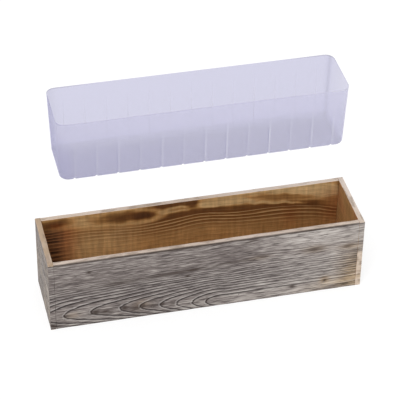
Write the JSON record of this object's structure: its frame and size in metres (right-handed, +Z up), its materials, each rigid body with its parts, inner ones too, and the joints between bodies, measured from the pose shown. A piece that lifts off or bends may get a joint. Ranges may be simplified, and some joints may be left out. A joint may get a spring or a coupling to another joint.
{
  "type": "wooden loaf box with lift-out clear liner",
  "caption": "Long open-topped box of nailed, whitewashed boards with a ribbed clear plastic liner that lifts straight out.",
  "frame": {"origin": "middle of the whole object's box in plan, on the surface that it stands on", "axes": "+X along the box's length to the right, +Y to the back, +Z up; the front long side faces -Y"},
  "size_m": [0.432, 0.104, 0.3235],
  "materials": {
    "whitewashed_wood": "weathered grey-white wash over open dark grain, matt",
    "torched_wood": "scorched amber-brown pine, matt",
    "brad_steel": "dulled plain steel",
    "clear_plastic": "thin clear thermoformed sheet with a faint lilac cast, glossy"
  },
  "bodies": {
    "box": {"front_board": "whitewashed_wood", "back_board": "whitewashed_wood", "left_end_board": "whitewashed_wood", "right_end_board": "whitewashed_wood", "floor_board": "torched_wood", "brad_left_front_1": "brad_steel", "brad_left_front_2": "brad_steel", "brad_left_front_3": "brad_steel", "brad_floor_left_front": "brad_steel", "brad_left_back_1": "brad_steel", "brad_left_back_2": "brad_steel", "brad_left_back_3": "brad_steel", "brad_floor_left_back": "brad_steel", "brad_right_front_1": "brad_steel", "brad_right_front_2": "brad_steel", "brad_right_front_3": "brad_steel", "brad_floor_right_front": "brad_steel", "brad_right_back_1": "brad_steel", "brad_right_back_2": "brad_steel", "brad_right_back_3": "brad_steel", "brad_floor_right_back": "brad_steel", "brad_floor_front_1": "brad_steel", "brad_floor_front_2": "brad_steel", "brad_floor_front_3": "brad_steel", "brad_floor_front_4": "brad_steel", "brad_floor_back_1": "brad_steel", "brad_floor_back_2": "brad_steel", "brad_floor_back_3": "brad_steel", "brad_floor_back_4": "brad_steel"},
    "liner": {"liner": "clear_plastic"}
  },
  "joints": [
    {"name": "liner_lift", "type": "slide", "parent": "box", "child": "liner", "axis": [0, 0, 1], "range_m": [-0.2162, 0]}
  ]
}
